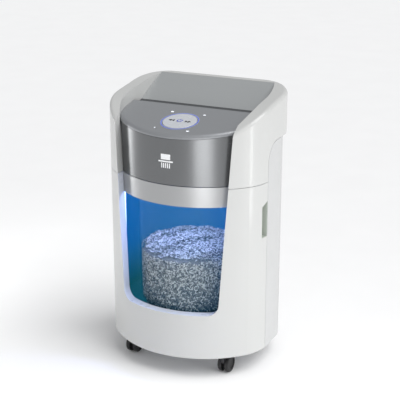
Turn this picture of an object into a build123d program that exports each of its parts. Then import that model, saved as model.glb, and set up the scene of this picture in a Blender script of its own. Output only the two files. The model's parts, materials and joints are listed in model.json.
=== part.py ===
from build123d import *
import math
import os

# Deep-bin paper shredder: white shell, silver-grey head, and a round clear bin that
# turns behind a large front window. Millimetres. +Z is up, the front faces -Y, and the
# origin is on the floor, under the middle of the machine.

# ---------------------------------------------------------------- driving dimensions
HALF_WIDTH = 190.0          # half of the overall width
WIDEST_Y = -10.0            # the sides are straight behind this line
FRONT_Y = -150.0            # foremost line of the bowed front
SHOULDER_R = 95.0           # plan radius between the front bow and the sides
HEAD_BACK_Y = 150.0
HEAD_CORNER_R = 78.0
CABINET_BACK_Y = 140.0
CABINET_CORNER_R = 95.0
WALL = 3.0                  # moulded wall thickness
GAP = 1.0                   # visible gap between two housings
FIT = 0.4                   # gap between pieces that sit in each other

# Every height below is counted from a datum that the wheels reach LIFT below.
LIFT = 10.0
SHELL_BOTTOM = 38.0         # under edge of the white shell
SEAM_Z = 434.0              # split between drawer and head
BAND_BOTTOM = 388.0         # under edge of the silver band
WINDOW_BOTTOM = 143.0
WINDOW_CORNER = 24.0
BAY_HALF_WIDTH = 134.0      # half width of the front opening at the head seam
BAY_TAPER = 0.06            # growth of that half width for each mm upwards
BAY_INSET = 18.0            # grey panel and silver band lie this far behind the shell
DRAWER_SEAM_Y = -18.0       # vertical split between drawer front and rear cabinet

DECK_Y = -72.0              # the deck is at DECK_Z here
DECK_Z = 556.0
DECK_ANGLE = 10.5
DECK_LIP = 8.5
DECK_FILLET = 8.0
DECK_SKIN = 4.0
DECK_REAR_Y = 18.0
SIDE_HALF_WIDTH = 158.0     # inner faces of the wings at their widest
SIDE_FRONT_R = 140.0        # plan radius of those faces towards the front
SIDE_REAR_R = 308.0         # and towards the back, behind SIDE_REAR_Y
SIDE_REAR_Y = 30.0
TROUGH_REAR_Y = 54.0
TROUGH_Z = 565.0
SLOPE_TOP_Y = 128.0
SLOPE_TOP_Z = 618.0
COVER_SPLIT_X = 118.0       # the wings end and the rear cover starts here
WING_LOW_Z = 517.0          # under edge of the head behind the drawer seam
WING_LOW_RADIUS = 45.0
RIM_PROFILE = [
    (-170.0, 475.0),
    (-114.0, 536.0),
    (-94.0, 554.0),
    (-76.0, 567.0),
    (-57.0, 579.0),
    (-38.0, 588.0),
    (-10.0, 596.0),
    (30.0, 602.0),
    (80.0, 609.0),
    (128.0, 618.0),
    (170.0, 623.0),
]
RIM_FILLET = 9.0

DISC_Y = -63.0              # middle of the round control panel
RING_OUTER_R = 43.0
RING_INNER_R = 38.0
DISC_R = 37.5
DISC_THICK = 4.0
BUTTON_R = 8.0
LENS_X = 39.0
LENS_V = 43.0
LENS_LONG = 10.0
LENS_WIDE = 6.0

SLOT_Y = 24.0               # middle of the paper path
SLOT_HALF_LENGTH = 115.0
SLOT_WIDTH = 7.0
SLOT_WALL = 2.5
SLOT_FLOOR_Z = 513.0

CUTTER_Z = 490.0
CUTTER_R = 19.0
CUTTER_CORE_R = 12.0
CUTTER_SHAFT_R = 6.0
CUTTER_HALF_LENGTH = 118.0
CUTTER_PITCH = 5.0
CUTTER_TOOTH = 1.8
PLATE_X = 122.0             # inner faces of the cutter side plates
PLATE_THICK = 4.0
BEARING_R = 11.0
TIE_R = 3.0
RUNNING = 0.05              # radial clearance of a shaft in its bearing

MODULE = 1.5
SYNC_TEETH = 24
DRIVE_TEETH = 40
BIG_TEETH = 44
SMALL_TEETH = 14
MOTOR_TEETH = 12
TURNTABLE_TEETH = 80
BIN_PINION_TEETH = 12
REDUCTION_ANGLE = 60.0      # from the rear cutter to the reduction gear
MOTOR_ANGLE = -40.0         # from the reduction gear to the motor
SYNC_X = (-138.0, -128.0)   # the gear pair that turns both cutters
DRIVE_X = (128.0, 136.0)    # the slow pair of the gearbox
BIG_X = (137.5, 143.5)      # and its fast pair
GEAR_SHAFT_R = 4.0
MOTOR_R = 28.0

BIN_R = 126.0
BIN_TOP = 418.0
BIN_BOTTOM = 127.0
BIN_WALL = 2.5
TURNTABLE_R = 108.0
TURNTABLE_BOTTOM = 118.0
TRAY_Z = 112.0              # under face of the drawer floor
TRAY_THICK = 4.0
HUB_R = 18.0
HUB_BOTTOM = 92.0
BEARING_HOLE_R = 26.0
GEAR_Z = (96.0, 104.0)      # gear and pinion that turn the bin
LINER_INSET = 16.0
LINER_BACK_Y = 133.0
LINER_CORNER_R = 95.0
LINER_TOP = 422.0

BASE_Z = 42.0
BASE_THICK = 5.0
RAIL_X = 146.0              # inner side of the drawer slides
RAIL_LOW = BASE_Z + BASE_THICK
SLIDE_FRONT_Y = -72.0
SLIDE_REAR_Y = 110.0
CASTER_X = 118.0
CASTER_FRONT_Y = -84.0
CASTER_REAR_Y = 84.0
WHEEL_R = 20.0
WHEEL_WIDTH = 9.0
WHEEL_GAP = 9.0
CASTER_TRAIL = 13.0
AXLE_R = 2.5
HUB_DISH_R = 13.0
STEM_R = 5.0
SOCKET_R = 9.0

GRIP_FRONT_Y = -39.0
GRIP_BOTTOM = 309.0
GRIP_TOP = 392.0
GRIP_INNER_X = 176.0

BADGE_Z = 484.0
BADGE_RELIEF = 0.6
SCREW_SHANK_R = 1.6
SCREW_HEAD_R = 3.4
SCREW_LENGTH = 16.0
COVER_SCREW_X = 70.0
COVER_SCREW_Z = 545.0
INLET_X = -95.0
INLET_Z = 96.0
INLET_HALF_X = 26.0
INLET_HALF_Z = 16.0
ROCKER_X = 14.0             # from the inlet's middle to the switch

JAMB_BACK_Y = -76.0         # rear edge of the white walls beside the front opening
BAY_BACK_Y = -60.0          # rear edge of what fills that opening
BAY_CUT_Y = -40.0
SIDE_WALL_DEPTH = 12.0      # how far the wings' inner walls reach below the deck plane
PLATE_TOP = 548.0
MOTOR_BODY_X = (40.0, 106.0)
MOTOR_BELL_X = (28.0, PLATE_X)
GEARBOX_WALL = 2.0
GEARBOX_X = 149.0
GEARBOX_TOP = 562.0
BOARD_Z = 450.0
BOARD_THICK = 1.6
CHUTE_HALF_Y = 43.0
CHUTE_RIM = 20.0            # height of the rim round the chute
SOCKET_WELL_DEPTH = 20.0
ROCKER_WELL_DEPTH = 12.0
PIN_R = 1.0
GEARMOTOR_Z = (66.0, 92.0)
GEARMOTOR_HALF = 20.0
GEARMOTOR_CAN_R = 13.0
GEARMOTOR_SHAFT_R = 3.0
FAR = 400.0                 # reach of cutting bodies

# ---------------------------------------------------------------- worked out from them
CHASSIS_Z = SEAM_Z + 2
AXLE_Z = WHEEL_R - LIFT
CUTTER_SPREAD = MODULE * SYNC_TEETH / 2
CUTTER_FRONT_Y = SLOT_Y - CUTTER_SPREAD
CUTTER_REAR_Y = SLOT_Y + CUTTER_SPREAD
REDUCTION_DISTANCE = MODULE * (DRIVE_TEETH + SMALL_TEETH) / 2
REDUCTION_Y = CUTTER_REAR_Y + REDUCTION_DISTANCE * math.cos(math.radians(REDUCTION_ANGLE))
REDUCTION_Z = CUTTER_Z + REDUCTION_DISTANCE * math.sin(math.radians(REDUCTION_ANGLE))
MOTOR_DISTANCE = MODULE * (BIG_TEETH + MOTOR_TEETH) / 2
MOTOR_Y = REDUCTION_Y + MOTOR_DISTANCE * math.cos(math.radians(MOTOR_ANGLE))
MOTOR_Z = REDUCTION_Z + MOTOR_DISTANCE * math.sin(math.radians(MOTOR_ANGLE))
BIN_PINION_X = MODULE * (TURNTABLE_TEETH + BIN_PINION_TEETH) / 2


# ---------------------------------------------------------------- shared shapes
def arc(centre, radius, start, end):
    """Arc from one angle in degrees to another, about centre."""
    x, y = centre
    turns = [math.radians(start + (end - start) * part) for part in (0, 0.5, 1)]
    return ThreePointArc(*[(x + radius * math.cos(t), y + radius * math.sin(t)) for t in turns])


def mirrored_face(right_half):
    """Closed face from the right half of its outline, which runs from front to back."""
    left_half = [mirror(edge, about=Plane.YZ) for edge in right_half]
    return make_face(right_half + left_half)


def outline(inset, back_y, corner_r):
    """Plan outline: bowed front of three tangent arcs, straight sides, round back corners."""
    side = HALF_WIDTH - inset
    reach = WIDEST_Y - FRONT_Y
    offset = HALF_WIDTH - SHOULDER_R
    bow_r = (offset ** 2 + reach ** 2 - SHOULDER_R ** 2) / (2 * (reach - SHOULDER_R))
    bow_y = FRONT_Y + bow_r
    turn = math.degrees(math.atan2(WIDEST_Y - bow_y, offset))
    right = [
        arc((0, bow_y), bow_r - inset, -90, turn),
        arc((offset, WIDEST_Y), SHOULDER_R - inset, turn, 0),
        Line((side, WIDEST_Y), (side, back_y - corner_r)),
        arc((HALF_WIDTH - corner_r, back_y - corner_r), corner_r - inset, 0, 90),
        Line((HALF_WIDTH - corner_r, back_y - inset), (0, back_y - inset)),
    ]
    return mirrored_face(right)


def head_outline(inset):
    return outline(inset, HEAD_BACK_Y, HEAD_CORNER_R)


def cabinet_outline(inset):
    return outline(inset, CABINET_BACK_Y, CABINET_CORNER_R)


def side_outline(grow):
    """Plan outline of the space between the wings."""
    side = SIDE_HALF_WIDTH + grow
    centre_x = SIDE_HALF_WIDTH - SIDE_FRONT_R
    rear_turn = 25.0
    rear_x = SIDE_HALF_WIDTH - SIDE_REAR_R + (SIDE_REAR_R + grow) * math.cos(math.radians(rear_turn))
    rear_y = SIDE_REAR_Y + (SIDE_REAR_R + grow) * math.sin(math.radians(rear_turn))
    right = [
        Line((0, WIDEST_Y - SIDE_FRONT_R - grow), (centre_x, WIDEST_Y - SIDE_FRONT_R - grow)),
        arc((centre_x, WIDEST_Y), SIDE_FRONT_R + grow, -90, 0),
        Line((side, WIDEST_Y), (side, SIDE_REAR_Y)),
        arc((SIDE_HALF_WIDTH - SIDE_REAR_R, SIDE_REAR_Y), SIDE_REAR_R + grow, 0, rear_turn),
        Line((rear_x, rear_y), (0, rear_y)),
    ]
    return mirrored_face(right)


def column(face, low, high):
    return extrude(Pos(0, 0, low) * face, high - low)


def block(x0, x1, y0, y1, z0, z1):
    centre = Pos((x0 + x1) / 2, (y0 + y1) / 2, (z0 + z1) / 2)
    return centre * Box(x1 - x0, y1 - y0, z1 - z0)


def along_x(points, half_length=FAR):
    """Closed polygon of (y, z) points, extruded to both sides of the middle plane."""
    return extrude(Plane.YZ.offset(-half_length) * make_face(Polyline(*points, close=True)), 2 * half_length)


def bay_half_width(z):
    return BAY_HALF_WIDTH + BAY_TAPER * (z - SEAM_Z)


def bay_prism(margin, bottom, top, back_y, corner=0.0):
    """The tapered front opening as a solid that runs from back_y out to the front."""
    low = bay_half_width(bottom) + margin
    high = bay_half_width(top) + margin
    points = [(-low, bottom), (low, bottom), (high, top), (-high, top)]
    face = make_face(Polyline(*points, close=True))
    if corner:
        face = fillet(face.vertices().group_by(Axis.Y)[0], corner)
    return extrude(Plane.XZ.offset(-back_y) * face, FAR)


def deck_z(y):
    return DECK_Z + (y - DECK_Y) * math.tan(math.radians(DECK_ANGLE))


def above_deck(offset):
    """Everything above the deck plane moved up by offset."""
    return along_x([(-FAR, deck_z(-FAR) + offset), (FAR, deck_z(FAR) + offset), (FAR, 900), (-FAR, 900)])


def deck_plane(v=0.0, x=0.0, height=0.0):
    """Plane on the deck at x across and v up the slope from the control panel's middle."""
    slope = math.radians(DECK_ANGLE)
    origin = (x, DISC_Y + v * math.cos(slope) - height * math.sin(slope),
              deck_z(DISC_Y) + v * math.sin(slope) + height * math.cos(slope))
    return Plane(origin=origin, x_dir=(1, 0, 0), z_dir=(0, -math.sin(slope), math.cos(slope)))


def above_rim(offset):
    """Everything above the wings' rim profile moved up by offset."""
    points = [(y, z + offset) for y, z in RIM_PROFILE]
    top = 900.0
    rim = Spline(*points)
    sides = Polyline(points[-1], (points[-1][0], top), (points[0][0], top), points[0])
    return extrude(Plane.YZ.offset(-FAR) * make_face([rim, sides]), 2 * FAR)


def x_rod(radius, x0, x1, y, z):
    return Pos((x0 + x1) / 2, y, z) * Rot(0, 90, 0) * Cylinder(radius, x1 - x0)


def z_rod(radius, z0, z1, x, y):
    return Pos(x, y, (z0 + z1) / 2) * Cylinder(radius, z1 - z0)


def gear_face(teeth, phase):
    """Spur gear face with straight-sided teeth and room for backlash, one tooth at phase degrees."""
    pitch_r = MODULE * teeth / 2
    tip_r = pitch_r + 0.85 * MODULE
    root_r = pitch_r - 1.2 * MODULE
    pitch = 2 * math.pi / teeth
    points = []
    for tooth in range(teeth):
        middle = math.radians(phase) + tooth * pitch
        for radius, part in ((root_r, -0.30), (tip_r, -0.10), (tip_r, 0.10), (root_r, 0.30)):
            angle = middle + part * pitch
            points.append((radius * math.cos(angle), radius * math.sin(angle)))
    return make_face(Polyline(*points, close=True))


def x_gear(teeth, phase, bore, x0, x1, y, z):
    """Gear on an axis along X; phase is measured from +Y towards +Z."""
    gear = extrude(Plane.YZ.offset(x0) * gear_face(teeth, phase), x1 - x0)
    gear = Pos(0, y, z) * gear
    return gear - x_rod(bore, x0 - 1, x1 + 1, y, z)


def z_gear(teeth, phase, bore, z0, z1, x, y):
    gear = extrude(Pos(x, y, z0) * gear_face(teeth, phase), z1 - z0)
    return gear - z_rod(bore, z0 - 1, z1 + 1, x, y)


def mirrored(shape):
    return mirror(shape, about=Plane.YZ)


def both_sides(shape):
    return Compound([shape, mirrored(shape)])


# ---------------------------------------------------------------- head housing
def wing_low_region(offset):
    """Space under the head behind the drawer seam, with its rounded front corner."""
    front = DRAWER_SEAM_Y + offset
    top = WING_LOW_Z - offset
    corner_y = front + WING_LOW_RADIUS
    corner_z = top - WING_LOW_RADIUS
    corner = RadiusArc((front, corner_z), (corner_y, top), WING_LOW_RADIUS)
    rest = Polyline((corner_y, top), (FAR, top), (FAR, -50), (front, -50), (front, corner_z))
    return extrude(Plane.YZ.offset(-FAR) * make_face([corner, rest]), 2 * FAR)


def head_ring():
    """White surround of the head in one piece, before it is split."""
    ring = column(head_outline(0), SEAM_Z, 700) - above_rim(0)
    top_edges = [e for e in ring.edges() if e.center().Z > SEAM_Z + 1 and e.geom_type != GeomType.LINE]
    ring = fillet(top_edges, RIM_FILLET)
    inner = column(side_outline(0), SEAM_Z - 50, 700) - block(-FAR, FAR, SLOPE_TOP_Y + GAP, FAR, 0, 900)
    inner_above = inner & above_deck(-SIDE_WALL_DEPTH)
    ring -= inner_above
    ring -= bay_prism(0, SEAM_Z - 50, 700, BAY_CUT_Y)
    ring -= wing_low_region(0)

    grown = column(side_outline(WALL), SEAM_Z - 50, 700)
    grown -= block(-FAR, FAR, SLOPE_TOP_Y + GAP + WALL, FAR, 0, 900)
    grown_above = grown & above_deck(-SIDE_WALL_DEPTH)
    upper = column(head_outline(WALL), WING_LOW_Z + WALL, 700) - grown_above
    lower = column(cabinet_outline(WALL), SEAM_Z - 10, WING_LOW_Z + WALL) - grown_above
    cavity = upper + lower
    cavity -= above_rim(-WALL - 1)
    jamb = bay_prism(WALL, SEAM_Z - 50, 700, JAMB_BACK_Y)
    return ring - (cavity - jamb)


def split_head(ring):
    right = block(0, FAR, -FAR, FAR, 0, 900) - block(-1, COVER_SPLIT_X, 100, FAR, 0, 900)
    rear = block(-COVER_SPLIT_X + FIT, COVER_SPLIT_X - FIT, 100, FAR, 0, 900)
    right_wing = (ring & right).solids().sort_by(SortBy.VOLUME)[-1]
    rear_cover = (ring & rear).solids().sort_by(SortBy.VOLUME)[-1]
    return right_wing, mirrored(right_wing), rear_cover - case_screws()


def case_screws():
    """Countersunk screws of the rear cover, flush with its face."""
    points = [(0, 0), (SCREW_HEAD_R, 0), (SCREW_SHANK_R, SCREW_HEAD_R - SCREW_SHANK_R),
              (SCREW_SHANK_R, SCREW_LENGTH), (0, SCREW_LENGTH)]
    screw = revolve(Plane.XZ * make_face(Polyline(*points, close=True)), Axis.Z)
    return both_sides(Pos(COVER_SCREW_X, HEAD_BACK_Y, COVER_SCREW_Z) * Rot(90, 0, 0) * screw)


def bay_shell(inset, thickness):
    """Upright skin that follows the bowed front at some depth behind it."""
    shell = column(cabinet_outline(inset), 0, 700) - column(cabinet_outline(inset + thickness), -10, 710)
    return shell - block(-FAR, FAR, BAY_BACK_Y, FAR, -10, 900)


def front_panel():
    panel = bay_shell(BAY_INSET, WALL) & bay_prism(-FIT, SEAM_Z + GAP / 2, 700, BAY_BACK_Y)
    return panel - above_deck(-DECK_LIP - GAP / 2)


def deck_block(inset, offset):
    """Space between the wings behind the grey front, up to offset above the deck."""
    body = column(cabinet_outline(BAY_INSET + inset), 500, 700) & column(side_outline(-inset), 480, 720)
    return body - above_deck(offset)


def control_deck():
    deck = deck_block(FIT, 0)
    deck -= block(-FAR, FAR, DECK_REAR_Y - FIT, FAR, 0, 900)
    top = deck.faces().filter_by(lambda f: f.normal_at().Z > 0.9).sort_by(SortBy.AREA)[-1]
    front_edges = [e for e in top.edges() if e.center().Y < -100]
    deck = fillet(front_edges, DECK_FILLET)
    below = column(head_outline(-20), 0, 900) - above_deck(-DECK_LIP)
    hollow = deck_block(FIT + WALL, -DECK_SKIN)
    hollow -= block(-FAR, FAR, DECK_REAR_Y - WALL, FAR, 0, 900)
    deck = deck - below - hollow
    deck -= extrude(deck_plane() * Circle(RING_OUTER_R + 0.2), 30, both=True)
    for x in (-LENS_X, LENS_X):
        for v in (-LENS_V, LENS_V):
            deck -= extrude(deck_plane(v, x) * SlotOverall(LENS_LONG + FIT, LENS_WIDE + FIT), 30, both=True)
    return deck


def indicator_lenses():
    lenses = []
    for x in (-LENS_X, LENS_X):
        for v in (-LENS_V, LENS_V):
            plane = deck_plane(v, x, -WALL)
            lenses.append(extrude(plane * SlotOverall(LENS_LONG, LENS_WIDE), WALL + 0.3))
    return Compound(lenses)


def feed_slot_trough():
    """Sunken strip behind the deck with the paper slot and the guide down to the cutters."""
    front = DECK_REAR_Y
    rear = TROUGH_REAR_Y
    floor = along_x([(front, TROUGH_Z - WALL), (rear, TROUGH_Z - WALL), (rear, TROUGH_Z + WALL),
                     (rear - WALL, TROUGH_Z), (front, TROUGH_Z)])
    floor = floor & column(side_outline(-FIT), 400, 700)
    guide = block(-SLOT_HALF_LENGTH - SLOT_WALL, SLOT_HALF_LENGTH + SLOT_WALL,
                  SLOT_Y - SLOT_WIDTH / 2 - SLOT_WALL, SLOT_Y + SLOT_WIDTH / 2 + SLOT_WALL,
                  SLOT_FLOOR_Z, TROUGH_Z - WALL)
    slot = block(-SLOT_HALF_LENGTH, SLOT_HALF_LENGTH, SLOT_Y - SLOT_WIDTH / 2, SLOT_Y + SLOT_WIDTH / 2,
                 0, 900)
    return floor + guide - slot


def rear_slope_panel():
    """Light grey panel that rises from the paper slot to the back edge of the head."""
    start_y = TROUGH_REAR_Y + FIT
    start_z = TROUGH_Z + WALL
    panel = along_x([(start_y, start_z), (SLOPE_TOP_Y, SLOPE_TOP_Z), (SLOPE_TOP_Y, SLOPE_TOP_Z - WALL - 1),
                     (start_y + 2, start_z - WALL), (start_y, start_z - WALL)])
    return panel & column(side_outline(-FIT), 400, 700)


def light_ring():
    """Clear ring round the control disc, with a flange under the deck."""
    ring = Circle(RING_OUTER_R) - Circle(RING_INNER_R + FIT)
    flange = Circle(RING_OUTER_R + 3) - Circle(RING_INNER_R + FIT)
    return extrude(deck_plane(height=-7) * ring, 7.6) + extrude(deck_plane(height=-7) * flange, 7 - DECK_SKIN)


def control_disc():
    disc = extrude(deck_plane(height=-DISC_THICK + 1.4) * Circle(DISC_R), DISC_THICK)
    disc = fillet(disc.edges().sort_by(Axis.Z)[-1], 1.2)
    return disc - extrude(deck_plane() * Circle(BUTTON_R + 0.35), 30, both=True)


def power_button():
    button = extrude(deck_plane(height=-4) * Circle(BUTTON_R), 5.9)
    return fillet(button.edges().sort_by(Axis.Z)[-1], 0.8)


def front_badge():
    """Generic pictogram in relief: a sheet going into strips."""
    marks = [Pos(0, BADGE_Z + 12) * Rectangle(22, 12), Pos(0, BADGE_Z + 2) * Rectangle(34, 3)]
    for strip in range(-2, 3):
        marks.append(Pos(4.6 * strip, BADGE_Z - 7) * Rectangle(2.2, 11))
    skin = bay_shell(BAY_INSET - BADGE_RELIEF, BADGE_RELIEF)
    return Compound([extrude(Plane.XZ.offset(60) * mark, FAR) & skin for mark in marks])


def panel_board():
    """Round circuit board that carries the control panel's lights and switches."""
    board = extrude(deck_plane(height=-8.6) * Circle(RING_OUTER_R + 3), 1.6)
    return board - extrude(deck_plane(height=-10) * Circle(6), 4)


# ---------------------------------------------------------------- cabinet
def rear_cabinet_shell():
    shell = column(cabinet_outline(0), SHELL_BOTTOM, WING_LOW_Z) & wing_low_region(GAP)
    shell -= column(cabinet_outline(WALL), 0, 900)
    inlet_hole = block(INLET_X - INLET_HALF_X, INLET_X + INLET_HALF_X, 100, FAR,
                       INLET_Z - INLET_HALF_Z, INLET_Z + INLET_HALF_Z)
    return shell - inlet_hole


def base_plate():
    plate = column(cabinet_outline(WALL + FIT), BASE_Z, BASE_Z + BASE_THICK)
    for x, y in caster_places():
        plate -= z_rod(SOCKET_R, 0, 100, x, y)
    return plate


def head_chassis():
    """Moulded floor of the head that carries the cutter, with the chute over the bin."""
    floor = column(cabinet_outline(BAY_INSET + WALL + GAP), CHASSIS_Z, CHASSIS_Z + WALL)
    rear = column(cabinet_outline(WALL + FIT), CHASSIS_Z, CHASSIS_Z + WALL)
    floor += rear & block(-150, 150, 20, FAR, 0, 900)
    rim_half = CHUTE_HALF_Y + WALL
    rim = block(-PLATE_X, PLATE_X, SLOT_Y - rim_half, SLOT_Y + rim_half, CHASSIS_Z, CHASSIS_Z + CHUTE_RIM)
    chute = block(-PLATE_X + WALL, PLATE_X - WALL, SLOT_Y - CHUTE_HALF_Y, SLOT_Y + CHUTE_HALF_Y, 0, 900)
    return floor + rim - chute


def chamber_light_bar():
    """Light bar under the head that lights the bin chamber."""
    return block(-90, 90, -70, -58, CHASSIS_Z - 4, CHASSIS_Z)


def cutter_side_plates():
    plate = block(PLATE_X, PLATE_X + PLATE_THICK, SLOT_Y - 44, MOTOR_Y + MOTOR_R - 4,
                  CHASSIS_Z + WALL, PLATE_TOP)
    for y in (CUTTER_FRONT_Y, CUTTER_REAR_Y):
        plate -= x_rod(BEARING_R, 0, FAR, y, CUTTER_Z)
    for y, z in tie_rod_places():
        plate -= x_rod(TIE_R, 0, FAR, y, z)
    right = plate - x_rod(GEAR_SHAFT_R + RUNNING, 0, FAR, REDUCTION_Y, REDUCTION_Z)
    right -= x_rod(GEAR_SHAFT_R + 1, 0, FAR, MOTOR_Y, MOTOR_Z)
    return Compound([right, mirrored(plate)])


def tie_rod_places():
    return [(SLOT_Y - 38, 468), (SLOT_Y - 38, 520), (SLOT_Y + 52, 460), (REDUCTION_Y + 40, 540)]


def cutter_tie_rods():
    end = PLATE_X + PLATE_THICK
    return Compound([x_rod(TIE_R, -end, end, y, z) for y, z in tie_rod_places()])


def cutter_bearings():
    rings = []
    for y in (CUTTER_FRONT_Y, CUTTER_REAR_Y):
        ring = x_rod(BEARING_R, PLATE_X, PLATE_X + PLATE_THICK, y, CUTTER_Z)
        ring -= x_rod(CUTTER_SHAFT_R + RUNNING, 0, FAR, y, CUTTER_Z)
        rings.append(ring)
        rings.append(mirrored(ring))
    return Compound(rings)


def cutter(y, shift):
    """Cutting cylinder: a shaft whose discs pass between those of its twin."""
    count = int(2 * CUTTER_HALF_LENGTH / CUTTER_PITCH) - 1
    start = -count * CUTTER_PITCH / 2 + shift
    points = [(-CUTTER_HALF_LENGTH, 0), (-CUTTER_HALF_LENGTH, CUTTER_CORE_R)]
    for i in range(count):
        x = start + i * CUTTER_PITCH
        points += [(x, CUTTER_CORE_R), (x, CUTTER_R), (x + CUTTER_TOOTH, CUTTER_R),
                   (x + CUTTER_TOOTH, CUTTER_CORE_R)]
    points += [(CUTTER_HALF_LENGTH, CUTTER_CORE_R), (CUTTER_HALF_LENGTH, 0)]
    body = revolve(make_face(Polyline(*points, close=True)), Axis.X)
    return Pos(0, y, CUTTER_Z) * body


def cutter_on_shaft(y, shift, left_end, right_end):
    return cutter(y, shift) + x_rod(CUTTER_SHAFT_R, left_end, right_end, y, CUTTER_Z)


def stripper_combs():
    """Two combs whose fingers reach between the cutting discs."""
    combs = []
    for side, y, shift in ((-1, CUTTER_FRONT_Y, 0.0), (1, CUTTER_REAR_Y, CUTTER_PITCH / 2)):
        count = int(2 * CUTTER_HALF_LENGTH / CUTTER_PITCH) - 1
        start = -count * CUTTER_PITCH / 2 + shift
        back = y + side * (CUTTER_R + 1.5)
        comb = block(-PLATE_X, PLATE_X, min(back, back + side * 3), max(back, back + side * 3),
                     CUTTER_Z - 12, CUTTER_Z + 12)
        near = y + side * (CUTTER_CORE_R + 1.5)
        for i in range(0, count - 1, 2):
            x = start + i * CUTTER_PITCH + CUTTER_TOOTH + 0.8
            comb += block(x, x + CUTTER_PITCH - CUTTER_TOOTH - 1.6, min(near, back), max(near, back),
                          CUTTER_Z - 3, CUTTER_Z + 3)
        combs.append(comb)
    return Compound(combs)


def sync_gear(y, phase):
    return x_gear(SYNC_TEETH, phase, CUTTER_SHAFT_R, SYNC_X[0], SYNC_X[1], y, CUTTER_Z)


def rear_cutter_gear():
    """Gears on the rear cutter: the one that drives its twin and the one that is driven."""
    left = sync_gear(CUTTER_REAR_Y, 0.0)
    right = x_gear(DRIVE_TEETH, REDUCTION_ANGLE, CUTTER_SHAFT_R, DRIVE_X[0], DRIVE_X[1],
                   CUTTER_REAR_Y, CUTTER_Z)
    return Compound([left, right])


def reduction_gear():
    small_phase = REDUCTION_ANGLE + 180 + 180 / SMALL_TEETH
    body = x_gear(SMALL_TEETH, small_phase, 1, DRIVE_X[0], BIG_X[0], REDUCTION_Y, REDUCTION_Z)
    body += x_gear(BIG_TEETH, MOTOR_ANGLE, 1, BIG_X[0], BIG_X[1], REDUCTION_Y, REDUCTION_Z)
    return body + x_rod(GEAR_SHAFT_R, PLATE_X - 2, BIG_X[1] + 3, REDUCTION_Y, REDUCTION_Z)


def motor_shaft():
    phase = MOTOR_ANGLE + 180 + 180 / MOTOR_TEETH
    body = x_gear(MOTOR_TEETH, phase, 1, BIG_X[0], BIG_X[1], MOTOR_Y, MOTOR_Z)
    return body + x_rod(GEAR_SHAFT_R, 90, BIG_X[1] + 3, MOTOR_Y, MOTOR_Z)


def motor_housing():
    """Drive motor: wound body with two end bells, bolted to the right side plate."""
    body = x_rod(MOTOR_R, MOTOR_BODY_X[0], MOTOR_BODY_X[1], MOTOR_Y, MOTOR_Z)
    body += x_rod(MOTOR_R - 4, MOTOR_BELL_X[0], MOTOR_BELL_X[1], MOTOR_Y, MOTOR_Z)
    return body - x_rod(GEAR_SHAFT_R + RUNNING, 88, FAR, MOTOR_Y, MOTOR_Z)


def gearbox_cover():
    """Open-backed cover over the gears on the right side plate."""
    x0 = PLATE_X + PLATE_THICK
    x1 = GEARBOX_X
    y0 = CUTTER_REAR_Y - 35
    y1 = MOTOR_Y + 24
    z0 = CUTTER_Z - 36
    z1 = GEARBOX_TOP
    hollow = block(x0 - 1, x1 - GEARBOX_WALL, y0 + GEARBOX_WALL, y1 - GEARBOX_WALL,
                   z0 + GEARBOX_WALL, z1 - GEARBOX_WALL)
    return block(x0, x1, y0, y1, z0, z1) - hollow


def control_board():
    """Circuit board on four posts, with its transformer, relay and filter as blocks."""
    left, right, front, rear = -110, -10, 78, 120
    top = BOARD_Z + BOARD_THICK
    post_r = 3
    post_inset = 4
    board = block(left, right, front, rear, BOARD_Z, top)
    transformer = block(-104, -84, 84, 100, BOARD_Z + 1, top + 16)
    relay = block(-76, -52, 82, 104, BOARD_Z + 1, top + 12)
    line_filter = block(-44, -18, 90, 112, BOARD_Z + 1, top + 18)
    board += transformer + relay + line_filter
    for x in (left + post_inset, right - post_inset):
        for y in (front + post_inset, rear - post_inset):
            board += z_rod(post_r, CHASSIS_Z + WALL, BOARD_Z + 1, x, y)
    return board


def run_capacitor():
    """Motor capacitor, screwed to the left side plate."""
    return x_rod(14, -PLATE_X, -62, 96, 500)


def channel(x0, x1, low, high, web, flange, front, rear):
    """Right-hand channel that opens towards the middle of the machine."""
    outer = block(x0, x1, front, rear, low, high)
    return outer - block(x0 - 1, x1 - web, front - 1, rear + 1, low + flange, high - flange)


def cabinet_rails():
    """Fixed members of the drawer slides, on the base plate."""
    return both_sides(channel(RAIL_X, RAIL_X + 10, RAIL_LOW, RAIL_LOW + 18, 3, 4, SLIDE_FRONT_Y, SLIDE_REAR_Y))


def slide_middle_members():
    """Middle members of the drawer slides, which travel half as far as the drawer."""
    return both_sides(channel(RAIL_X + 0.5, RAIL_X + 6.4, RAIL_LOW + 4.5, RAIL_LOW + 13.5, 2, 2,
                              SLIDE_FRONT_Y + 2, SLIDE_REAR_Y - 2))


def drawer_runners():
    """Inner members of the drawer slides, which hang the drawer floor."""
    foot = block(RAIL_X - 6, RAIL_X + 3.8, SLIDE_FRONT_Y + 4, SLIDE_REAR_Y - 4, RAIL_LOW + 7, RAIL_LOW + 11)
    web = block(RAIL_X - 6, RAIL_X - 3, SLIDE_FRONT_Y + 4, SLIDE_REAR_Y - 4, RAIL_LOW + 7, TRAY_Z)
    return both_sides(foot + web)


def door_interlock_switch():
    """Switch behind the chamber liner that stops the cutter while the drawer is open."""
    switch = block(-10, 10, LINER_BACK_Y - 13, LINER_BACK_Y + 3, LINER_TOP + 2, CHASSIS_Z)
    return switch + block(-2, 2, LINER_BACK_Y + 0.6, LINER_BACK_Y + 2.4, LINER_TOP - 8, LINER_TOP + 3)


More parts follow.
